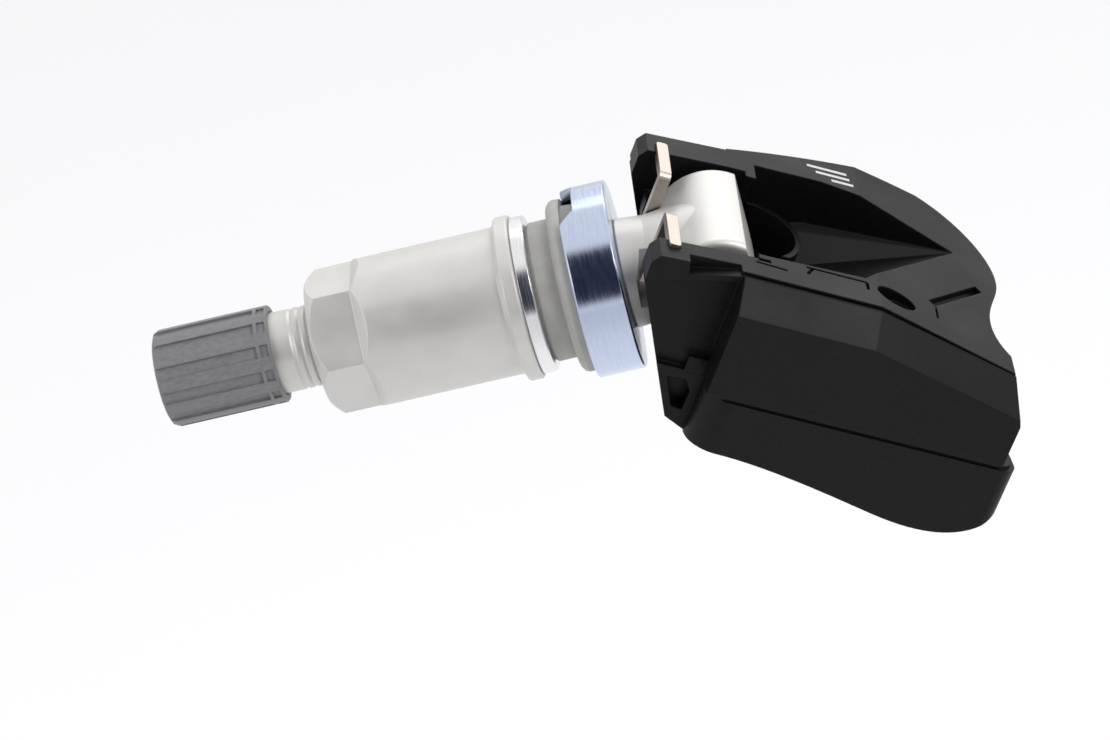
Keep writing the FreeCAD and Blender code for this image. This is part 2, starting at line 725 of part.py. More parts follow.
def saddles():
    """The two curved cups that hold the foot's ends from below and in front."""
    ring = cross_rod(SADDLE_R, CHANNEL_HALF * 2).cut(cross_rod(FOOT_R + RUNNING_CLEARANCE, FOOT_WIDTH * 2))
    ring = ring.cut(above(SADDLE_TOP_Z))
    ring = ring.cut(block(0, FAR_REACH, -FAR_REACH, FAR_REACH, -FAR_REACH, FAR_REACH))
    slot_half = NECK_R + NECK_CLEARANCE
    return ring.cut(block(-FAR_REACH, FAR_REACH, -slot_half, slot_half, -FAR_REACH, FAR_REACH))


def clip_notches():
    """The notches in the tops of both walls that take the clip's ears."""
    half = CLIP_WIDTH / 2 + CLIP_SEAT_GAP
    floor_z = CLIP_TOP_Z - CLIP_T - CLIP_SEAT_GAP
    ear_end = CLIP_EAR_END + CLIP_SEAT_GAP
    return with_mirror(block(CLIP_X - half, CLIP_X + half, -ear_end, -CHANNEL_HALF + 1, floor_z, TOP_Z + 1))


def foot_seat():
    """The room for the foot's round barrel, between the walls."""
    return cross_rod(FOOT_R + RUNNING_CLEARANCE, CHANNEL_HALF * 2)


def above_face(points):
    """Everything over a flat three-cornered face."""
    return closed_face([VEC(*point) for point in points]).extrude(VEC(0, 0, FAR_REACH / 2))


def channel_space():
    """All that is open between the walls: the foot's seat, the neck's slot and the sloping floor behind."""
    steep = math.radians(TILT_DEG + SWIVEL_DOWN_DEG + 1)
    slot_r = NECK_R + NECK_CLEARANCE
    high = TOP_Z + 6
    far_front = CHEEK_TOP_X - 4
    touch = (touch_x(steep, slot_r), -slot_r * math.cos(steep))
    back_x = touch[0] - 0.4
    narrow = CHANNEL_HALF - SEAT_STEP

    # The foot's seat, open to the front and to the top, a little narrower behind the barrel.
    seat = block(far_front, SEAT_STEP_X, -CHANNEL_HALF, CHANNEL_HALF, -FOOT_R * 0.62, high)
    seat = seat.fuse(block(SEAT_STEP_X, touch[0], -narrow, narrow, -FOOT_R * 0.62, high)).fuse(foot_seat())

    # The slot that the neck swings in.
    run = 16.0
    slot = side_prism([
        (touch[0], touch[1]),
        (touch[0] - run * math.cos(steep), touch[1] - run * math.sin(steep)),
        (far_front - 4, touch[1] - run * math.sin(steep)),
        (far_front - 4, high),
        (touch[0], high),
    ], -slot_r, slot_r)

    # The floor behind the foot is a twisted sheet that rises to the right and comes out of the top on a slant.
    near_back = VEC(back_x, -narrow, FLOOR_BACK_Z)
    far_back = VEC(back_x, LEDGE_Y, FLOOR_BACK_Z)
    near_out = VEC(FLOOR_NEAR_OUT[0], FLOOR_NEAR_OUT[1], top_z(FLOOR_NEAR_OUT[0]) + 0.02)
    far_out = VEC(FLOOR_FAR_OUT[0], FLOOR_FAR_OUT[1], top_z(FLOOR_FAR_OUT[0]) + 0.02)
    floor = Part.makeRuledSurface(line(near_back, far_back), line(near_out, far_out))
    trough = floor.extrude(VEC(0, 0, FAR_REACH / 2))

    # A ledge along the far wall climbs from the floor to the wing's inner edge in two flat facets.
    ledge_top = (back_x, FAR_EDGE_Y, FLOOR_BACK_Z + LEDGE_DROP)
    ledge_bend = (FAR_EDGE_BEND[0], FAR_EDGE_BEND[1], ledge_top[2] + 1.8)
    first = above_face([tuple(far_back), ledge_top, tuple(far_out)])
    second = above_face([ledge_top, ledge_bend, tuple(far_out)])
    return seat.fuse(slot).fuse(trough).fuse(first).fuse(second)


def bowl(radius, z0, z1):
    """A round column by the far wall behind the foot."""
    return Part.makeCylinder(radius, z1 - z0, VEC(BOWL_X, BOWL_Y, z0))


def bowl_rim():
    """The thin curved rib round the bowl, standing on the floor and the ledge behind the foot."""
    ring = bowl(BOWL_R + BOWL_RIM_T, FLOOR_BACK_Z, BOWL_RIM_Z)
    ring = ring.cut(bowl(BOWL_R, FLOOR_BACK_Z - 1, BOWL_RIM_Z + 1))
    return ring.common(block(FOOT_R * 0.7, FAR_REACH, 1.0, FAR_EDGE_Y, -FAR_REACH, FAR_REACH))


def panel_line(x0, y0, x1, y1):
    """A narrow groove in the top between two points in plan."""
    length = math.hypot(x1 - x0, y1 - y0)
    groove = block(0, length, -LINE_WIDTH / 2, LINE_WIDTH / 2, 0, FAR_REACH)
    groove.rotate(VEC(0, 0, 0), Z_AXIS, math.degrees(math.atan2(y1 - y0, x1 - x0)))
    groove.translate(VEC(x0, y0, min(top_z(x0), top_z(x1)) - LINE_DEPTH))
    return groove


def panel_lines():
    """The thin lines, the bracket and the small slot that the mould leaves in the near side of the top."""
    end_x = BRACKET_X + BRACKET_LENGTH
    low_y = BRACKET_Y - BRACKET_DROP
    lines = [
        panel_line(BRACKET_X, BRACKET_Y, end_x, BRACKET_Y),
        panel_line(end_x, BRACKET_Y, end_x, low_y),
        panel_line(BRACKET_X, low_y, BRACKET_X + 0.6, BRACKET_Y),
        panel_line(BRACKET_X - 5.0, low_y - 0.1, BRACKET_X - 2.0, low_y - 0.3),
    ]
    slot_y = -CHANNEL_HALF + SEAT_STEP - SLOT_WIDTH - 0.15
    lines.append(block(SLOT_X, SLOT_X + SLOT_LENGTH, slot_y - SLOT_WIDTH, slot_y, TOP_Z - 1.0, TOP_Z + 1))

    # The slanted step to the right of the port follows the falling top.
    direction = VEC(STEP_END[0] - STEP_START[0], STEP_END[1] - STEP_START[1], 0)
    side = VEC(-direction.y, direction.x, 0).normalize() * STEP_WIDTH
    starts = [VEC(STEP_START[0], STEP_START[1], 0), VEC(STEP_START[0], STEP_START[1], 0) + side]
    ends = [point + direction for point in starts]
    corners = [VEC(p.x, p.y, top_z(p.x) - STEP_DEPTH) for p in (starts[0], ends[0], ends[1], starts[1])]
    lines.append(closed_face(corners).extrude(VEC(0, 0, 3)))
    tail_y = STEP_START[1] - 2.0
    lines.append(panel_line(STEP_START[0], STEP_START[1] + STEP_WIDTH / 3, STEP_START[0], tail_y))
    return Part.makeCompound(lines)


def roof_z(x):
    """Height of the sealed room's roof, which rises under the channel floor."""
    end_z = top_z(ROOM_END_X) - SHELL_WALL * 2
    return ROOF_LOW_Z + (x - ROOF_LOW_X) * (end_z - ROOF_LOW_Z) / (ROOM_END_X - ROOF_LOW_X)


def inner_space():
    """The sealed room for the battery and the board, under the channel floor."""
    outline = [
        (ROOM_FRONT_X, ROOM_FLOOR_Z),
        (ROOM_END_X, ROOM_FLOOR_Z),
        (ROOM_END_X, roof_z(ROOM_END_X)),
        (ROOF_LOW_X, ROOF_LOW_Z),
        (ROOM_FRONT_X, ROOF_LOW_Z),
    ]
    room = side_prism(outline, -ROOM_HALF, ROOM_HALF)
    return room.makeFillet(ROOM_CORNER_R, upright_edges(room))


def base_corner():
    """The waste outside the base shell's big round front corner on the near side."""
    radius = BASE_CORNER_R
    corner = block(WING_X - 0.02, WING_X + radius, -NEAR_Y - 1, -NEAR_Y + radius, -FAR_REACH, 0)
    return corner.cut(Part.makeCylinder(radius, FAR_REACH, VEC(WING_X + radius, -NEAR_Y + radius, -FAR_REACH)))


def housing_shells():
    """Splits the hollowed body at its seams into the three mouldings."""
    whole = wing_envelope().fuse(cheek_envelope()).removeSplitter()
    bowl_zone = block(FOOT_R * 0.7, FAR_REACH, 0, FAR_EDGE_Y, -FAR_REACH, FAR_REACH)
    hollow = whole.cut(channel_space()).cut(bowl(BOWL_R, BOWL_FLOOR_Z, TOP_Z + 1).common(bowl_zone))
    hollow = hollow.fuse(bowl_rim()).cut(foot_seat()).fuse(saddles().common(above(SEAM_Z)))
    hollow = hollow.cut(clip_notches()).cut(inner_space()).cut(pressure_port()).cut(panel_lines())
    edge = RIM_GROOVE / 2
    rim_y = -CHEEK_HALF
    groove = [(rim_y - edge, -RIM_GROOVE), (rim_y + edge, -RIM_GROOVE), (rim_y + edge, 1), (rim_y - edge, 1)]
    hollow = hollow.cut(along_top(groove, 1.0))
    hollow = hollow.removeSplitter()

    base = hollow.cut(above(SEAM_Z + SEAM_GAP / 2)).cut(base_corner())
    step = plan_column().cut(plan_column(SEAM_STEP))
    base = base.cut(step.common(above(SEAM_Z - SEAM_STEP)))
    upper = hollow.common(above(SEAM_Z + SEAM_GAP / 2))

    # The body moulding: the near wing with its bevel, and the outer wall below the cover's rim.
    near = block(WING_X - 0.001, FAR_REACH, -FAR_REACH, -CHEEK_HALF, -FAR_REACH, FAR_REACH)
    under_rim = side_prism([
        (WING_X - 0.001, SEAM_Z - 1),
        (FAR_REACH / 2, SEAM_Z - 1),
        (FAR_REACH / 2, top_z(FAR_REACH / 2) - COVER_RIM_DROP),
        (BEND_X, TOP_Z - COVER_RIM_DROP),
        (WING_X - 0.001, TOP_Z - COVER_RIM_DROP),
    ], -FAR_REACH, FAR_REACH)
    # A corner block joins the two behind the leaning right end.
    corner = block(UPPER_END_X - UPPER_END_LEAN, FAR_REACH, -CHEEK_HALF, -CHEEK_HALF / 2, -FAR_REACH, FAR_REACH)
    outer_wall = plan_column().cut(plan_column(SHELL_WALL)).fuse(corner)
    body_zone = near.fuse(outer_wall.common(under_rim))
    return base, upper.common(body_zone), upper.cut(body_zone)


def retaining_clip():
    """A pair of spring steel strips: each has an ear in its wall's notch and a leg down beside the neck."""
    half_t = CLIP_T / 2
    x0 = CLIP_X - CLIP_WIDTH / 2
    x1 = CLIP_X + CLIP_WIDTH / 2
    ear = block(x0, x1, -CLIP_EAR_END, -CLIP_LEG_Y + half_t, CLIP_TOP_Z - CLIP_T, CLIP_TOP_Z)
    ear = ear.makeFillet(CLIP_TIP, [e for e in upright_edges(ear) if e.CenterOfMass.y < -CLIP_LEG_Y - 1])
    leg = block(x0, x1, -CLIP_LEG_Y - half_t, -CLIP_LEG_Y + half_t, CLIP_LEG_END_Z, CLIP_TOP_Z)
    near = ear.fuse(leg).removeSplitter()
    bend = [e for e in near.Edges
            if abs(e.CenterOfMass.y + CLIP_LEG_Y - half_t) < 0.01 and abs(e.CenterOfMass.z - CLIP_TOP_Z) < 0.01]
    near = near.makeFillet(CLIP_T * 0.9, bend)
    return Part.makeCompound([near, near.mirror(VEC(0, 0, 0), Y_AXIS)])


# Pressure port and electronics

def pressure_port():
    """The oval recess in the near wall's top with the air hole at its bottom."""
    z0 = top_z(PORT_X) - PORT_DEPTH
    oval = Part.Ellipse(VEC(PORT_X, PORT_Y, z0), PORT_LENGTH / 2, PORT_WIDTH / 2).toShape()
    recess = Part.Face(Part.Wire([oval])).extrude(VEC(0, 0, PORT_DEPTH * 2))
    return recess.fuse(Part.makeCylinder(PORT_R, z0 - BOARD_Z1, VEC(PORT_X, PORT_Y, BOARD_Z1)))


def port_filter():
    """Thin breathable disc pressed into the air hole."""
    z0 = top_z(PORT_X) - PORT_DEPTH - FILTER_DEPTH
    return Part.makeCylinder(PORT_R - INNER_GAP / 2, FILTER_T, VEC(PORT_X, PORT_Y, z0))


def port_gasket():
    """Rubber tube that carries the air from the port down to the sensor chip."""
    z0 = BOARD_Z1 + CHIP[2]
    outer_r = PORT_R + GASKET_WALL
    height = roof_z(PORT_X - outer_r) - z0
    centre = VEC(PORT_X, PORT_Y, z0)
    return Part.makeCylinder(outer_r, height, centre).cut(Part.makeCylinder(PORT_R, height, centre))


def on_board(size, x, y):
    """A flat component centred at (x, y) on the board's top."""
    dx, dy, dz = size
    return block(x - dx / 2, x + dx / 2, y - dy / 2, y + dy / 2, BOARD_Z1, BOARD_Z1 + dz)


def battery_tabs():
    """Nickel strips from the cell's bottom up to the board, and from its top to the board above it."""
    half = TAB_WIDTH / 2
    x0 = BOARD_X0 + TAB_SET_IN
    under = block(x0, BATTERY_X, -half, half, ROOM_FLOOR_Z, BATTERY_Z0)
    riser = block(x0, x0 + TAB_T, -half, half, ROOM_FLOOR_Z, BOARD_Z0)
    over = block(BATTERY_X - TAB_REACH, BATTERY_X + TAB_REACH, -half, half, BATTERY_Z1, BOARD_Z0)
    return under.fuse(riser).removeSplitter(), over


def antenna():
    """A winding on a flat ferrite bar at the right end of the board."""
    x = BOARD_X1 - COIL_SET_IN
    z = BOARD_Z1 + COIL_SIDE / 2
    side = COIL_SIDE / 2
    core = FERRITE_SIDE / 2
    bore = core + INNER_GAP
    half = COIL_LENGTH / 2
    coil = block(x - side, x + side, -half, half, z - side, z + side)
    coil = coil.makeFillet(side * 0.4, [e for e in coil.Edges if abs(e.tangentAt(e.FirstParameter).y) > 0.99])
    coil = coil.cut(block(x - bore, x + bore, -COIL_LENGTH, COIL_LENGTH, z - bore, z + bore))
    reach = half + FERRITE_PROUD
    return coil, block(x - core, x + core, -reach, reach, z - core, z + core)


def electronics():
    """Board, cell, tabs and chips as they lie in the sealed room."""
    board = block(BOARD_X0, BOARD_X1, -BOARD_HALF, BOARD_HALF, BOARD_Z0, BOARD_Z1)
    cell = Part.makeCylinder(BATTERY_R, BATTERY_T, VEC(BATTERY_X, 0, BATTERY_Z0))
    tab_under, tab_over = battery_tabs()
    coil, ferrite = antenna()
    chip_x = PORT_X - CHIP[0]
    return {
        "circuit_board": board.makeFillet(BOARD_CORNER_R, upright_edges(board)),
        "battery_cell": cell.makeFillet(RING_EDGE * 2, round_edges(cell)),
        "battery_tab_negative": tab_under,
        "battery_tab_positive": tab_over,
        "pressure_sensor_chip": on_board(CHIP, PORT_X, PORT_Y + CHIP[1] * 0.15),
        "radio_chip": on_board(RADIO_CHIP, chip_x, CHIP_SPACE),
        "crystal": on_board(CRYSTAL, chip_x, -CHIP_SPACE / 2),
        "antenna_coil": coil,
        "coil_ferrite": ferrite,
        "port_filter": port_filter(),
        "port_gasket": port_gasket(),
    }


def build():
    """Makes every piece and writes one STEP file for each."""
    shapes = {
        "valve_stem": valve_stem(),
        "cup_washer": cup_washer(),
        "rim_grommet": rim_grommet(),
        "slip_washer": slip_washer(),
        "hex_collar_nut": hex_collar_nut(),
        "valve_cap": valve_cap(),
        "cap_seal": cap_seal(),
        "valve_core_body": valve_core_body(),
        "core_pin": core_pin(),
        "core_seal": core_seal(),
        "core_spring": core_spring(),
    }
    base, body, cover = housing_shells()
    shapes["base_shell"] = place_housing(base)
    shapes["housing_body"] = place_housing(body)
    shapes["cradle_cover"] = place_housing(cover)
    shapes["retaining_clip"] = place_housing(retaining_clip())
    for name, shape in electronics().items():
        shapes[name] = place_housing(shape)
    os.makedirs("parts", exist_ok=True)
    for name, shape in shapes.items():
        print(name, shape.isValid(), len(shape.Solids), round(shape.Volume, 1), shape.BoundBox)
        shape.exportStep("parts/" + name + ".step")


build()
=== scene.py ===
import math

import bpy
from mathutils import Matrix, Vector


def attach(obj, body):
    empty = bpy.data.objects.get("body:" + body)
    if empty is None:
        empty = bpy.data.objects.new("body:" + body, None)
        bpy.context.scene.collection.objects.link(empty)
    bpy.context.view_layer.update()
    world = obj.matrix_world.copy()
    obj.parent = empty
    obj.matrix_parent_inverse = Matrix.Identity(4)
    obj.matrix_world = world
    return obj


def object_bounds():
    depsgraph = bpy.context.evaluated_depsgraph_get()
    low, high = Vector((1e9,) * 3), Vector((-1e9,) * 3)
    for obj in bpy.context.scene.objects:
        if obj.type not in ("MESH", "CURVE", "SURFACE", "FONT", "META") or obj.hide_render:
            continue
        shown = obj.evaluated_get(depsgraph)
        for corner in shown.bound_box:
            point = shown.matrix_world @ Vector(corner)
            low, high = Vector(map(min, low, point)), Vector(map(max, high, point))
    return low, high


MM = 0.001

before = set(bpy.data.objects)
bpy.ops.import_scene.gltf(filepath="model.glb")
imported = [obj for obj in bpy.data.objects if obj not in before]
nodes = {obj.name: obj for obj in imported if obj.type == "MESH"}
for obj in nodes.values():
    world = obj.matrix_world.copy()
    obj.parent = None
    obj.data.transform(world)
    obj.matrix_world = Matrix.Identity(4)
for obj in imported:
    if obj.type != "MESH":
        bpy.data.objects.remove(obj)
cad_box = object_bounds()


# Valve stem: the long turned aluminium tube with the thread, the seat and the cross barrel at its inner end.
# It is machined from bar, fine-blasted and clear anodised, so it is pale, warm and satin.
METAL = 1.0
NO_METAL = 0.0
PLAIN_SPECULAR = 0.5


def new_finish(name, color, roughness, metallic, specular=PLAIN_SPECULAR):
    """A Principled material with its plain values set on the shader's own sockets."""
    material = bpy.data.materials.new(name)
    material.use_nodes = True
    shader = material.node_tree.nodes["Principled BSDF"]
    shader.inputs["Base Color"].default_value = (*color, 1.0)
    shader.inputs["Roughness"].default_value = roughness
    shader.inputs["Metallic"].default_value = metallic
    shader.inputs["Specular IOR Level"].default_value = specular
    return material, material.node_tree, shader


def stretched_place(tree, stretch):
    """The place on the piece in metres, times a factor on each axis."""
    place = tree.nodes.new("ShaderNodeTexCoord")
    mapping = tree.nodes.new("ShaderNodeMapping")
    mapping.inputs["Scale"].default_value = stretch
    tree.links.new(place.outputs["Object"], mapping.inputs["Vector"])
    return mapping.outputs["Vector"]


def streaks(tree, stretch, detail=3.0, roughness=0.55):
    """A noise with that many features per metre along each axis."""
    texture = tree.nodes.new("ShaderNodeTexNoise")
    texture.inputs["Scale"].default_value = 1.0
    texture.inputs["Detail"].default_value = detail
    texture.inputs["Roughness"].default_value = roughness
    tree.links.new(stretched_place(tree, stretch), texture.inputs["Vector"])
    return texture.outputs["Fac"]


def grains(tree, count, detail=3.0, roughness=0.55):
    """A noise with the same count of features per metre along every axis."""
    return streaks(tree, (count, count, count), detail, roughness)


RAMP_FROM = 0.25
RAMP_TO = 0.75


def vary_color(tree, shader, value, dark, light):
    """The base colour goes from dark to light as the value passes the middle."""
    ramp = tree.nodes.new("ShaderNodeValToRGB")
    ramp.color_ramp.elements[0].position = RAMP_FROM
    ramp.color_ramp.elements[0].color = (*dark, 1.0)
    ramp.color_ramp.elements[1].position = RAMP_TO
    ramp.color_ramp.elements[1].color = (*light, 1.0)
    tree.links.new(value, ramp.inputs["Fac"])
    tree.links.new(ramp.outputs["Color"], shader.inputs["Base Color"])


NOISE_LOW = 0.3
NOISE_HIGH = 0.7


def vary_gloss(tree, shader, value, low, high):
    """The roughness goes from low to high over the usual span of a noise."""
    ranges = tree.nodes.new("ShaderNodeMapRange")
    ranges.inputs["From Min"].default_value = NOISE_LOW
    ranges.inputs["From Max"].default_value = NOISE_HIGH
    ranges.inputs["To Min"].default_value = low
    ranges.inputs["To Max"].default_value = high
    tree.links.new(value, ranges.inputs["Value"])
    tree.links.new(ranges.outputs["Result"], shader.inputs["Roughness"])


EDGE_SAMPLES = 6


def relief(tree, shader, value, height, edge):
    """A bump of that height in metres over edges softened to that radius."""
    soft_edge = tree.nodes.new("ShaderNodeBevel")
    soft_edge.samples = EDGE_SAMPLES
    soft_edge.inputs["Radius"].default_value = edge
    bump = tree.nodes.new("ShaderNodeBump")
    bump.inputs["Strength"].default_value = 1.0
    bump.inputs["Distance"].default_value = height
    tree.links.new(value, bump.inputs["Height"])
    tree.links.new(soft_edge.outputs["Normal"], bump.inputs["Normal"])
    tree.links.new(bump.outputs["Normal"], shader.inputs["Normal"])


def dress(node, material):
    """Gives a carried piece its finish."""
    nodes[node].data.materials.clear()
    nodes[node].data.materials.append(material)


ALUMINIUM = (0.585, 0.57, 0.55)
ALUMINIUM_DULL = (0.53, 0.516, 0.497)
ALUMINIUM_ROUGHNESS = 0.5
ALUMINIUM_METAL = 0.55
ALUMINIUM_GLOSS = (0.38, 0.46)
ALUMINIUM_CLOUD = 260.0
BLAST_GRAIN = 9000.0
BLAST_DEPTH = 0.0025 * MM
TURNED_EDGE = 0.12 * MM

aluminium, tree, shader = new_finish("blasted_aluminium", ALUMINIUM, ALUMINIUM_ROUGHNESS, ALUMINIUM_METAL)
cloud = grains(tree, ALUMINIUM_CLOUD)
vary_color(tree, shader, cloud, ALUMINIUM_DULL, ALUMINIUM)
vary_gloss(tree, shader, cloud, *ALUMINIUM_GLOSS)
relief(tree, shader, grains(tree, BLAST_GRAIN), BLAST_DEPTH, TURNED_EDGE)
dress("valve_stem", aluminium)


# Collar nut: the same aluminium, turned with a clamping lip and milled to a hexagon at its outer end.
# It screws along the stem and pulls the rim against the rubber seal.
dress("hex_collar_nut", aluminium)


# Slip washer: a polished steel ring that lets the nut turn without dragging the rubber.
# Its turning marks run round it.
POLISHED = (0.83, 0.82, 0.81)
POLISHED_DARK = (0.62, 0.63, 0.66)
POLISHED_ROUGHNESS = 0.2
POLISHED_GLOSS = (0.12, 0.3)
RING_STREAK = (26000.0, 260.0, 260.0)
RING_STREAK_DEPTH = 0.004 * MM
RING_EDGE = 0.08 * MM

polished, tree, shader = new_finish("polished_ring", POLISHED, POLISHED_ROUGHNESS, METAL)
streak = streaks(tree, RING_STREAK, detail=4.0, roughness=0.7)
vary_color(tree, shader, streak, POLISHED_DARK, POLISHED)
vary_gloss(tree, shader, streak, *POLISHED_GLOSS)
relief(tree, shader, streak, RING_STREAK_DEPTH, RING_EDGE)
dress("slip_washer", polished)


# Rim seal: a grey moulded rubber sleeve. Its neck fills the rim hole and its flange is squeezed on the rim.
# Moulded rubber is matt, with a fine uneven bloom.
RUBBER = (0.36, 0.355, 0.34)
RUBBER_DARK = (0.30, 0.296, 0.282)
RUBBER_ROUGHNESS = 0.62
RUBBER_SPECULAR = 0.35
RUBBER_BLOOM = 700.0
RUBBER_SKIN = 7000.0
RUBBER_SKIN_DEPTH = 0.006 * MM
RUBBER_EDGE = 0.15 * MM

rubber, tree, shader = new_finish("grey_seal_rubber", RUBBER, RUBBER_ROUGHNESS, NO_METAL, RUBBER_SPECULAR)
vary_color(tree, shader, grains(tree, RUBBER_BLOOM, detail=4.0), RUBBER_DARK, RUBBER)
relief(tree, shader, grains(tree, RUBBER_SKIN), RUBBER_SKIN_DEPTH, RUBBER_EDGE)
dress("rim_grommet", rubber)


# Cup washer: a pressed steel cup with a bright bluish zinc plate.
# Fine turning marks run round its wall, and it backs the rubber flange.
ZINC = (0.54, 0.60, 0.74)
ZINC_DARK = (0.42, 0.48, 0.62)
ZINC_ROUGHNESS = 0.24
ZINC_GLOSS = (0.12, 0.24)
CUP_STREAK = (9000.0, 420.0, 420.0)
CUP_STREAK_DEPTH = 0.005 * MM
CUP_EDGE = 0.12 * MM

zinc, tree, shader = new_finish("bright_zinc_plate", ZINC, ZINC_ROUGHNESS, METAL)
streak = streaks(tree, CUP_STREAK, detail=5.0, roughness=0.7)
vary_color(tree, shader, streak, ZINC_DARK, ZINC)
vary_gloss(tree, shader, streak, *ZINC_GLOSS)
relief(tree, shader, streak, CUP_STREAK_DEPTH, CUP_EDGE)
dress("cup_washer", zinc)


# Cap: dark grey moulded plastic with flutes for the fingers, screwed on the end of the stem.
# Its seal is a disc of black rubber, the same as the core's seal and the tube under the air port.
CAP_PLASTIC = (0.19, 0.19, 0.195)
CAP_PLASTIC_DARK = (0.13, 0.13, 0.135)
CAP_ROUGHNESS = 0.5
CAP_SPECULAR = 0.45
CAP_GLOSS = (0.42, 0.58)
CAP_MOTTLE = (1500.0, 3200.0, 3200.0)
CAP_GRAIN = 6000.0
CAP_GRAIN_DEPTH = 0.008 * MM
CAP_EDGE = 0.15 * MM
BLACK_RUBBER = (0.02, 0.02, 0.02)
BLACK_RUBBER_ROUGHNESS = 0.6
BLACK_RUBBER_SPECULAR = 0.35
BLACK_RUBBER_GRAIN = 5000.0
BLACK_RUBBER_DEPTH = 0.005 * MM
BLACK_RUBBER_EDGE = 0.05 * MM

cap_plastic, tree, shader = new_finish("cap_plastic", CAP_PLASTIC, CAP_ROUGHNESS, NO_METAL, CAP_SPECULAR)
mottle = streaks(tree, CAP_MOTTLE, detail=4.0)
vary_color(tree, shader, mottle, CAP_PLASTIC_DARK, CAP_PLASTIC)
vary_gloss(tree, shader, mottle, *CAP_GLOSS)
relief(tree, shader, grains(tree, CAP_GRAIN), CAP_GRAIN_DEPTH, CAP_EDGE)
dress("valve_cap", cap_plastic)

black_rubber, tree, shader = new_finish(
    "black_rubber", BLACK_RUBBER, BLACK_RUBBER_ROUGHNESS, NO_METAL, BLACK_RUBBER_SPECULAR)
relief(tree, shader, grains(tree, BLACK_RUBBER_GRAIN), BLACK_RUBBER_DEPTH, BLACK_RUBBER_EDGE)
for node in ("cap_seal", "core_seal", "port_gasket"):
    dress(node, black_rubber)


# Valve core: a turned brass body screwed into the bore of the stem, with a brass pin down its middle.
# The turning marks run round both.
BRASS = (0.72, 0.55, 0.28)
BRASS_DARK = (0.60, 0.44, 0.21)
BRASS_ROUGHNESS = 0.3
BRASS_STREAK = (15000.0, 500.0, 500.0)
BRASS_STREAK_DEPTH = 0.003 * MM
BRASS_EDGE = 0.04 * MM

brass, tree, shader = new_finish("turned_brass", BRASS, BRASS_ROUGHNESS, METAL)
streak = streaks(tree, BRASS_STREAK)
vary_color(tree, shader, streak, BRASS_DARK, BRASS)
relief(tree, shader, streak, BRASS_STREAK_DEPTH, BRASS_EDGE)
for node in ("valve_core_body", "core_pin"):
    dress(node, brass)


# Housing: black glass-filled plastic in three mouldings, the base shell, the body and the cradle cover.
# They are welded along their seams, and the mould gives them a fine matt grain.
HOUSING_BLACK = (0.002, 0.002, 0.0023)
HOUSING_BLACK_LIGHT = (0.005, 0.005, 0.0057)
HOUSING_ROUGHNESS = 0.42
HOUSING_SPECULAR = 0.16
HOUSING_GLOSS = (0.38, 0.48)
FIBRE_GRAIN = 2600.0
SHEEN_CLOUD = 120.0
MOULD_GRAIN = 4200.0
MOULD_DEPTH = 0.010 * MM
MOULD_EDGE = 0.18 * MM

housing_black, tree, shader = new_finish(
    "housing_plastic", HOUSING_BLACK, HOUSING_ROUGHNESS, NO_METAL, HOUSING_SPECULAR)
fibre = grains(tree, FIBRE_GRAIN, detail=5.0, roughness=0.65)
vary_color(tree, shader, fibre, HOUSING_BLACK, HOUSING_BLACK_LIGHT)
vary_gloss(tree, shader, grains(tree, SHEEN_CLOUD), *HOUSING_GLOSS)
relief(tree, shader, grains(tree, MOULD_GRAIN, detail=4.0), MOULD_DEPTH, MOULD_EDGE)
for node in ("base_shell", "housing_body", "cradle_cover"):
    dress(node, housing_black)


# Printed marks: three plain pale bars of ink, as thin as a film, on the cradle cover's far wing.
# They are laid out in the housing's own frame, whose X runs along the housing from the foot's axis.
# Each bar's row holds where it starts and ends along X, and its middle in Y.
INK = (0.62, 0.62, 0.6)
INK_DARK = (0.45, 0.45, 0.44)
INK_ROUGHNESS = 0.6
INK_SPECULAR = 0.3
INK_GRAIN = 5200.0
INK_SUNK = 0.03 * MM
INK_PROUD = 0.02 * MM
HOUSING_TILT = math.radians(31.7)
FOOT_AXIS = Vector((14.3 * MM, 0.0, 0.0))
WING_TOP = 4.95 * MM
BAR_HALF = 0.2 * MM
BARS = [
    (8.6 * MM, 12.6 * MM, 12.15 * MM),
    (9.4 * MM, 12.8 * MM, 11.25 * MM),
    (10.9 * MM, 13.1 * MM, 10.35 * MM),
]
BAR_FACES = [(3, 2, 1, 0), (4, 5, 6, 7), (0, 1, 5, 4), (1, 2, 6, 5), (2, 3, 7, 6), (3, 0, 4, 7)]

to_row = Matrix.Translation(FOOT_AXIS) @ Matrix.Rotation(HOUSING_TILT, 4, "Y")
corners = []
faces = []
for start, end, middle in BARS:
    first = len(corners)
    for z in (WING_TOP - INK_SUNK, WING_TOP + INK_PROUD):
        for x, y in ((start, -BAR_HALF), (end, -BAR_HALF), (end, BAR_HALF), (start, BAR_HALF)):
            corners.append(to_row @ Vector((x, middle + y, z)))
    faces += [tuple(first + corner for corner in face) for face in BAR_FACES]
mark_mesh = bpy.data.meshes.new("wing_marks")
mark_mesh.from_pydata(corners, [], faces)
wing_marks = bpy.data.objects.new("wing_marks", mark_mesh)
bpy.context.scene.collection.objects.link(wing_marks)
ink, tree, shader = new_finish("pale_ink", INK, INK_ROUGHNESS, NO_METAL, INK_SPECULAR)
vary_color(tree, shader, grains(tree, INK_GRAIN, detail=5.0), INK_DARK, INK)
mark_mesh.materials.append(ink)
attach(wing_marks, "housing")


# Retaining clip: strips of bare spring steel whose legs hold the foot in the cradle.
# The steel is rolled, so its marks run along it. The core's spring has the same steel.
SPRING_STEEL = (0.52, 0.46, 0.41)
SPRING_STEEL_DARK = (0.40, 0.35, 0.31)
SPRING_ROUGHNESS = 0.34
ROLLED_STREAK = (9000.0, 9000.0, 500.0)
ROLLED_DEPTH = 0.004 * MM
STRIP_EDGE = 0.06 * MM

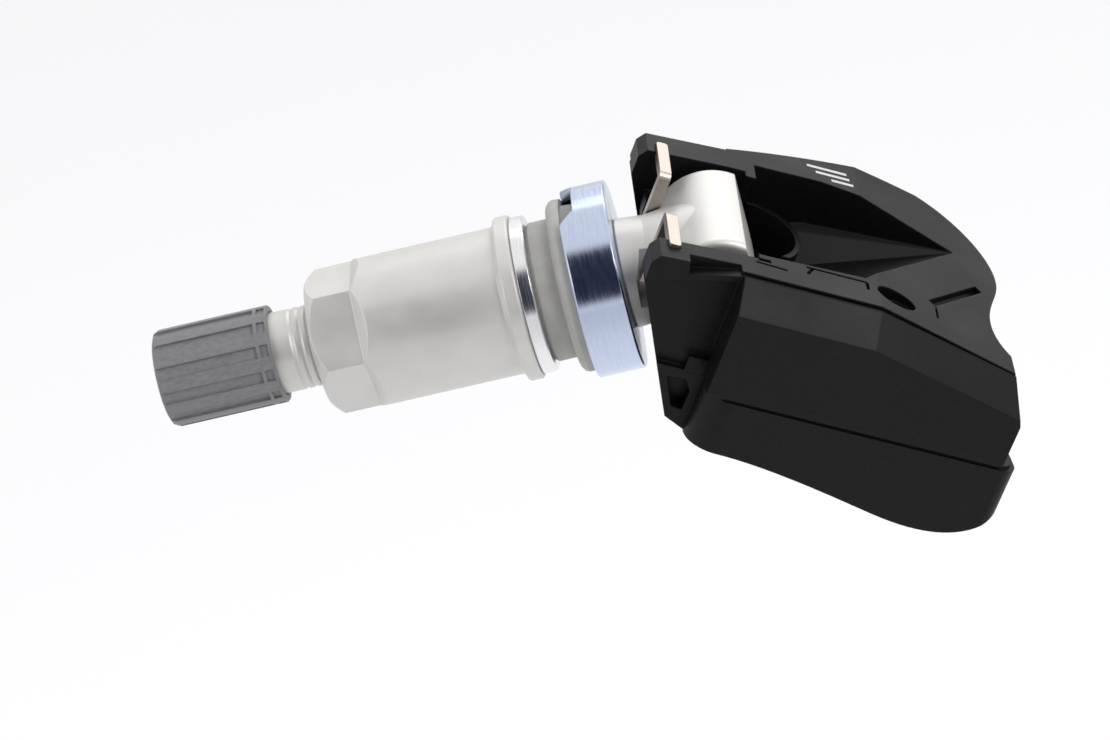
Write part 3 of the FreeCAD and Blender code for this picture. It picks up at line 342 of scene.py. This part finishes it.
spring_steel, tree, shader = new_finish("spring_steel", SPRING_STEEL, SPRING_ROUGHNESS, METAL)
streak = streaks(tree, ROLLED_STREAK, detail=4.0, roughness=0.65)
vary_color(tree, shader, streak, SPRING_STEEL_DARK, SPRING_STEEL)
relief(tree, shader, streak, ROLLED_DEPTH, STRIP_EDGE)
for node in ("retaining_clip", "core_spring"):
    dress(node, spring_steel)


# Electronics inside the housing: a glass-fibre board with a lithium cell, its nickel tabs, the chips,
# the crystal and the wound antenna, all sealed in by the housing. The port's membrane lets the air in; its
# dark grey is painted shade.
# Each row holds a finish's name, its light and dark colour, its roughness and how metallic it is.
INSIDE_GRAIN = 1800.0
INSIDE_SKIN = 6000.0
INSIDE_SKIN_DEPTH = 0.004 * MM
INSIDE_EDGE = 0.05 * MM
INSIDE_FINISHES = {
    "circuit_board": ("solder_mask", (0.03, 0.16, 0.07), (0.02, 0.11, 0.05), 0.3, NO_METAL),
    "battery_cell": ("nickel_can", (0.62, 0.61, 0.59), (0.54, 0.53, 0.51), 0.28, METAL),
    "battery_tab_negative": ("nickel_strip", (0.66, 0.63, 0.58), (0.56, 0.53, 0.49), 0.32, METAL),
    "battery_tab_positive": ("nickel_strip_outer", (0.66, 0.63, 0.58), (0.56, 0.53, 0.49), 0.32, METAL),
    "pressure_sensor_chip": ("sensor_package", (0.03, 0.03, 0.03), (0.02, 0.02, 0.02), 0.5, NO_METAL),
    "radio_chip": ("chip_package", (0.03, 0.03, 0.03), (0.02, 0.02, 0.02), 0.5, NO_METAL),
    "crystal": ("plated_lid", (0.7, 0.68, 0.62), (0.6, 0.58, 0.53), 0.25, METAL),
    "antenna_coil": ("enamelled_copper", (0.6, 0.27, 0.13), (0.4, 0.16, 0.07), 0.35, METAL),
    "coil_ferrite": ("sintered_ferrite", (0.09, 0.09, 0.09), (0.06, 0.06, 0.06), 0.6, NO_METAL),
    # The port's membrane is dark grey as painted shade, so the deep air hole reads as shadowed.
    "port_filter": ("membrane_with_painted_shade", (0.12, 0.12, 0.12), (0.08, 0.08, 0.08), 0.8, NO_METAL),
}

for node, (name, light, dark, roughness, metallic) in INSIDE_FINISHES.items():
    inside, tree, shader = new_finish(name, light, roughness, metallic)
    vary_color(tree, shader, grains(tree, INSIDE_GRAIN), dark, light)
    relief(tree, shader, grains(tree, INSIDE_SKIN), INSIDE_SKIN_DEPTH, INSIDE_EDGE)
    dress(node, inside)


# Studio: a pale sweep far below the part, soft boxes behind it and at both sides, and a dark room
# above the camera that the polished ring and the zinc cup mirror as a dark band.
# Each soft box's row holds its name, its place, its width in metres and its power in watts.
FLOOR_DROP = 0.6
FLOOR_SIZE = 40.0
FLOOR_PAINT = (0.97, 0.97, 0.98)
FLOOR_ROUGHNESS = 0.9
FLOOR_SPECULAR = 0.1
ROOM_STRENGTH = 1.1
ROOM_WHITE = (1.0, 1.0, 1.0, 1.0)
ROOM_DARK = (0.012, 0.016, 0.04, 1.0)
DARK_SIDE = (0.0, -0.79, 0.61)
DARK_FROM = 0.80
DARK_TO = 0.88
LIGHT_AIM = Vector((0.0, 0.0, -0.005))
SOFT_BOXES = [
    ("back", (0.25, 0.6, 0.4), 0.6, 1.6),
    ("key", (0.51, -0.34, 0.505), 0.4, 2.6),
    ("fill", (-0.5, -0.42, 0.45), 0.4, 1.2),
]

floor_mesh = bpy.data.meshes.new("floor")
half = FLOOR_SIZE / 2
corners = [(-half, -half, 0.0), (half, -half, 0.0), (half, half, 0.0), (-half, half, 0.0)]
floor_mesh.from_pydata(corners, [], [(0, 1, 2, 3)])
floor = bpy.data.objects.new("floor", floor_mesh)
floor.location.z = cad_box[0].z - FLOOR_DROP
bpy.context.scene.collection.objects.link(floor)
floor_paint, tree, shader = new_finish("floor_paint", FLOOR_PAINT, FLOOR_ROUGHNESS, NO_METAL, FLOOR_SPECULAR)
floor_mesh.materials.append(floor_paint)

world = bpy.data.worlds.new("studio")
bpy.context.scene.world = world
world.use_nodes = True
world_tree = world.node_tree
background = world_tree.nodes["Background"]
background.inputs["Strength"].default_value = ROOM_STRENGTH
direction = world_tree.nodes.new("ShaderNodeTexCoord")
facing = world_tree.nodes.new("ShaderNodeVectorMath")
facing.operation = "DOT_PRODUCT"
facing.inputs[1].default_value = DARK_SIDE
world_tree.links.new(direction.outputs["Generated"], facing.inputs[0])
shade = world_tree.nodes.new("ShaderNodeValToRGB")
shade.color_ramp.elements[0].position = DARK_FROM
shade.color_ramp.elements[0].color = ROOM_WHITE
shade.color_ramp.elements[1].position = DARK_TO
shade.color_ramp.elements[1].color = ROOM_DARK
world_tree.links.new(facing.outputs["Value"], shade.inputs["Fac"])
world_tree.links.new(shade.outputs["Color"], background.inputs["Color"])

for name, place, size, power in SOFT_BOXES:
    light = bpy.data.lights.new(name, "AREA")
    light.size = size
    light.energy = power
    lamp = bpy.data.objects.new(name, light)
    lamp.location = place
    lamp.rotation_euler = (LIGHT_AIM - Vector(place)).to_track_quat("-Z", "Y").to_euler()
    bpy.context.scene.collection.objects.link(lamp)

bpy.context.scene.view_settings.view_transform = "Standard"


# Camera: looks down on the valve from the front with a long lens.
# It is rolled so that the stem falls to the left.
CAMERA_PLACE = (0.0341, -0.3532, 0.2207)
CAMERA_AIM = (-0.00305, 0.0, -0.00871)
CAMERA_ROLL = math.radians(-16.13)
CAMERA_LENS = 145.48
CAMERA_NEAR = 0.05
SENSOR = 36.0

lens = bpy.data.cameras.new("camera")
lens.lens = CAMERA_LENS
lens.sensor_width = SENSOR
lens.clip_start = CAMERA_NEAR
camera = bpy.data.objects.new("camera", lens)
aim = (Vector(CAMERA_AIM) - Vector(CAMERA_PLACE)).to_track_quat("-Z", "Y").to_matrix().to_4x4()
camera.matrix_world = Matrix.Translation(CAMERA_PLACE) @ aim @ Matrix.Rotation(CAMERA_ROLL, 4, "Z")
bpy.context.scene.collection.objects.link(camera)
bpy.context.scene.camera = camera
